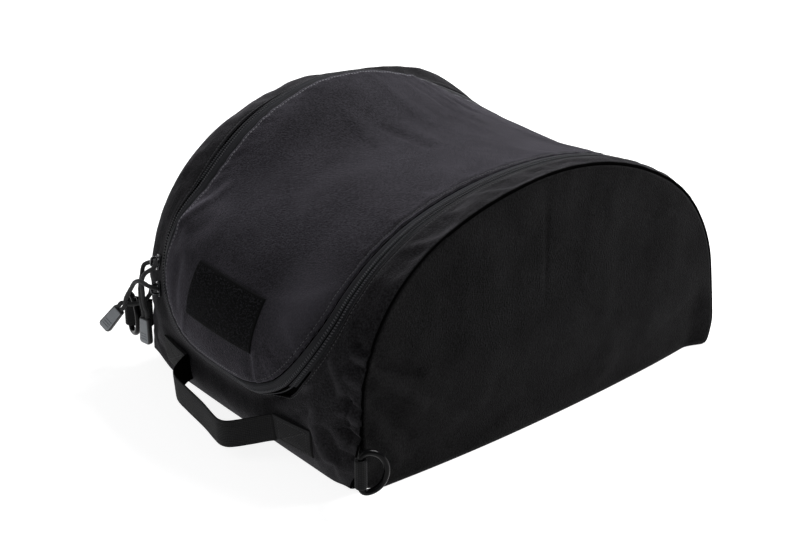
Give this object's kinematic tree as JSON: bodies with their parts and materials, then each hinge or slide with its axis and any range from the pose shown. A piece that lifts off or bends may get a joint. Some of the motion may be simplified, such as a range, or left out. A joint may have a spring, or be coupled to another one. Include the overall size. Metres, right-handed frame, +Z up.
{
  "type": "helmet bag",
  "caption": "Soft padded helmet bag with D-shaped ends, a zipped front-opening lid, a webbing carry handle in front and swinging D-rings on webbing tabs.",
  "frame": {"origin": "middle of the base panel's underside, on the surface that the bag stands on", "axes": "+X to the right across the bag seen from the front, +Y from the front to the back, +Z up"},
  "size_m": [0.3293, 0.4486, 0.2295],
  "materials": {
    "lid_cloth": "close plain weave, slight sheen",
    "body_cloth": "close plain weave",
    "webbing": "flat woven webbing",
    "zip_tape": "fine woven tape",
    "zip_coil": "moulded coil",
    "loop_pile": "loop pile",
    "ring_plastic": "gloss black",
    "slider_metal": "plated metal",
    "pull_cord": "braided cord",
    "pull_rubber": "soft moulded grip"
  },
  "bodies": {
    "bag": {"base_panel": "body_cloth", "surround_panel": "body_cloth", "back_panel": "body_cloth", "lid_panel": "lid_cloth", "zip_tape_lid_side": "zip_tape", "zip_tape_body_side": "zip_tape", "zip_coil": "zip_coil", "loop_patch": "loop_pile", "handle_strap": "webbing", "end_panel_right": "body_cloth", "end_panel_left": "body_cloth", "ring_tab_right": "webbing", "ring_tab_left": "webbing", "zip_slider_upper": "slider_metal", "zip_slider_lower": "slider_metal", "pull_cord_upper": "pull_cord", "pull_cord_lower": "pull_cord", "pull_end_upper": "pull_rubber", "pull_end_lower": "pull_rubber"},
    "ring_right": {"d_ring_right": "ring_plastic"},
    "ring_left": {"d_ring_left": "ring_plastic"}
  },
  "joints": [
    {"name": "ring_right_swing", "type": "hinge", "parent": "bag", "child": "ring_right", "pos_m": [0.157, -0.21076, 0.036], "axis": [0, 0, 1], "range_deg": [-240, 45]},
    {"name": "ring_left_swing", "type": "hinge", "parent": "bag", "child": "ring_left", "pos_m": [-0.157, -0.21053, 0.044], "axis": [0, 0, 1], "range_deg": [-278, 8]}
  ]
}
